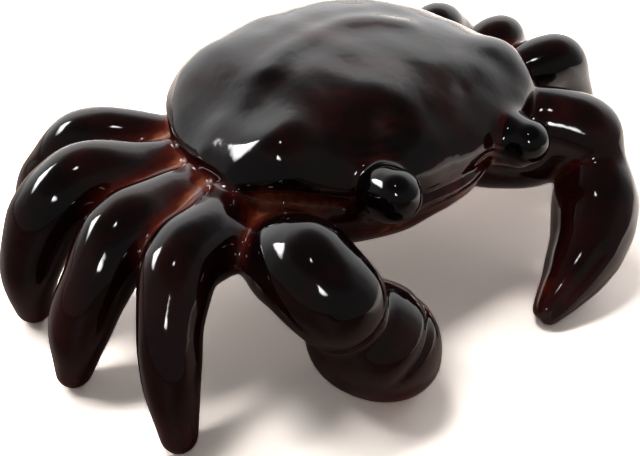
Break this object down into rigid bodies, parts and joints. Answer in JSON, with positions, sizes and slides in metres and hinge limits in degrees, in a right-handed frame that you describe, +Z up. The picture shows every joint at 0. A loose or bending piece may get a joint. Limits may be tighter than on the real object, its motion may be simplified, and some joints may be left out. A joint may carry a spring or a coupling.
{
  "type": "crab figurine",
  "caption": "Glazed ceramic crab ornament: hollow domed body, walking legs with flat feet, folded claws and bud eyes on short stalks",
  "frame": {"origin": "middle of the rectangle that the crab covers on the surface it stands on", "axes": "+X towards the crab's left side, +Y towards its back, +Z up; the crab faces -Y"},
  "size_m": [0.2038, 0.134, 0.0659],
  "materials": {
    "oxblood_glaze": "glossy dark oxblood glaze, near black on top and red brown where it runs thin",
    "black_glaze": "glossy black glaze"
  },
  "bodies": {
    "root": {"carapace": "oxblood_glaze", "left_claw_arm": "oxblood_glaze", "left_claw_finger": "oxblood_glaze", "left_claw_palm": "oxblood_glaze", "left_eye_stalk": "oxblood_glaze", "left_eyeball": "black_glaze", "left_leg_1": "oxblood_glaze", "left_leg_2": "oxblood_glaze", "left_leg_3": "oxblood_glaze", "left_leg_4": "oxblood_glaze", "lower_body": "oxblood_glaze", "right_claw_arm": "oxblood_glaze", "right_claw_finger": "oxblood_glaze", "right_claw_palm": "oxblood_glaze", "right_eye_stalk": "oxblood_glaze", "right_eyeball": "black_glaze", "right_leg_1": "oxblood_glaze", "right_leg_2": "oxblood_glaze", "right_leg_3": "oxblood_glaze", "right_leg_4": "oxblood_glaze"}
  },
  "joints": []
}
